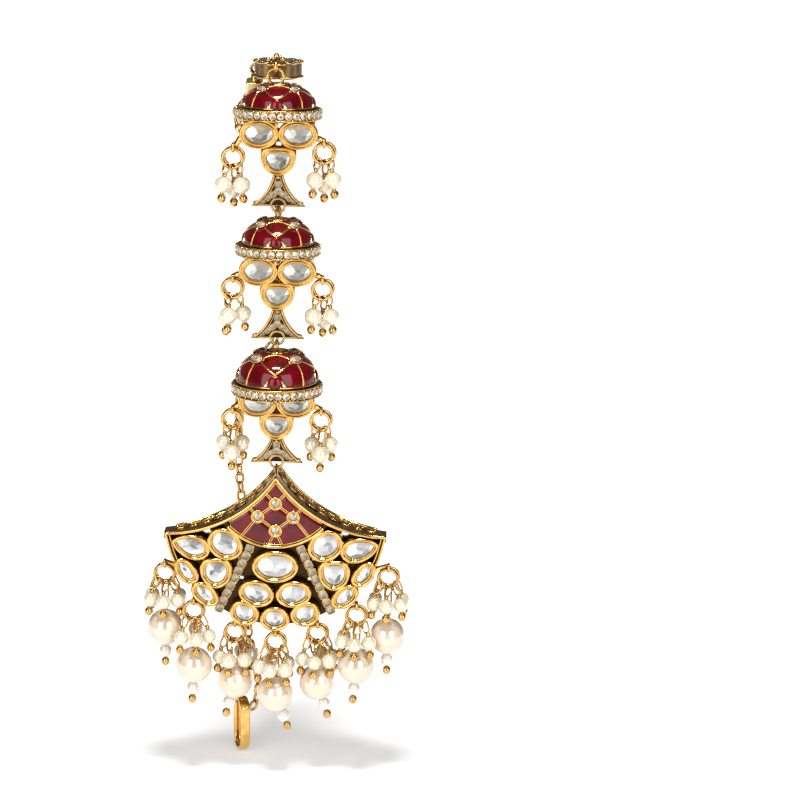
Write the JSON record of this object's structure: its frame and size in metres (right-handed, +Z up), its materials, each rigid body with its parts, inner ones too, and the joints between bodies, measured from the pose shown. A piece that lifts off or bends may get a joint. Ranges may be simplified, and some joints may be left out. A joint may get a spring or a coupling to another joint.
{
  "type": "hanging earring",
  "caption": "Long hanging earring: flower stud, enamelled dome tiers with set stones, an openwork fan fringed with pearl drops, and a support chain with a hair hook.",
  "frame": {"origin": "flower stud's underside, where it rests on the ear, straight behind the line that the tiers hang on", "axes": "+Z up, the earring hangs along -Z, its front faces -Y, +X to its right as seen from the front"},
  "size_m": [0.0509, 0.0218, 0.1373],
  "materials": {
    "gold": "warm polished gold plating",
    "antique_gold": "darkened satin gold plating",
    "ruby_enamel": "glossy deep ruby enamel",
    "foiled_stone": "flat cut clear stone over silver foil",
    "pearl": "ivory and champagne pearl lustre"
  },
  "bodies": {
    "root": {"ear_stud": "antique_gold", "stud_stones": "foiled_stone", "ear_nut": "antique_gold", "chain_ring": "gold", "ear_chain": "gold", "hook_ring": "gold", "hair_hook": "gold"},
    "ring": {"top_ring": "gold"},
    "tier_1": {"tier_1_frame": "gold", "tier_1_enamel": "ruby_enamel", "tier_1_stones": "foiled_stone", "tier_1_left_pins": "gold", "tier_1_left_pearls": "pearl", "tier_1_right_pins": "gold", "tier_1_right_pearls": "pearl"},
    "tier_2": {"tier_2_frame": "gold", "tier_2_enamel": "ruby_enamel", "tier_2_stones": "foiled_stone", "tier_2_left_pins": "gold", "tier_2_left_pearls": "pearl", "tier_2_right_pins": "gold", "tier_2_right_pearls": "pearl"},
    "tier_3": {"tier_3_frame": "gold", "tier_3_enamel": "ruby_enamel", "tier_3_stones": "foiled_stone", "tier_3_left_pins": "gold", "tier_3_left_pearls": "pearl", "tier_3_right_pins": "gold", "tier_3_right_pearls": "pearl"},
    "fan": {"fan_frame": "gold", "fan_enamel": "ruby_enamel", "fan_centre_stone": "foiled_stone", "fan_left_stones": "foiled_stone", "fan_right_stones": "foiled_stone", "fan_lower_stones": "foiled_stone", "drop_1_pins": "gold", "drop_1_large_pearl": "pearl", "drop_1_seed_pearls": "pearl", "drop_2_pins": "gold", "drop_2_large_pearl": "pearl", "drop_2_seed_pearls": "pearl", "drop_3_pins": "gold", "drop_3_large_pearl": "pearl", "drop_3_seed_pearls": "pearl", "drop_4_pins": "gold", "drop_4_large_pearl": "pearl", "drop_4_seed_pearls": "pearl", "drop_5_pins": "gold", "drop_5_large_pearl": "pearl", "drop_5_seed_pearls": "pearl", "drop_6_pins": "gold", "drop_6_large_pearl": "pearl", "drop_6_seed_pearls": "pearl", "drop_7_pins": "gold", "drop_7_large_pearl": "pearl", "drop_7_seed_pearls": "pearl"}
  },
  "joints": [
    {"name": "ring_nod", "type": "hinge", "parent": "root", "child": "ring", "pos_m": [-0.0006, -0.0063, 0.0028], "axis": [-1, 0, 0], "range_deg": [0, 20]},
    {"name": "tier_1_swing", "type": "hinge", "parent": "ring", "child": "tier_1", "pos_m": [-0.0006, -0.0063, 0.00157], "axis": [0, 1, 0], "range_deg": [-15, 15]},
    {"name": "tier_2_swing", "type": "hinge", "parent": "tier_1", "child": "tier_2", "pos_m": [0, -0.0063, -0.0239], "axis": [0, 1, 0], "range_deg": [-25, 25]},
    {"name": "tier_3_swing", "type": "hinge", "parent": "tier_2", "child": "tier_3", "pos_m": [0, -0.0063, -0.0486], "axis": [0, 1, 0], "range_deg": [-25, 25]},
    {"name": "fan_swing", "type": "hinge", "parent": "tier_3", "child": "fan", "pos_m": [0, -0.0063, -0.0724], "axis": [0, 1, 0], "range_deg": [-25, 25]}
  ]
}
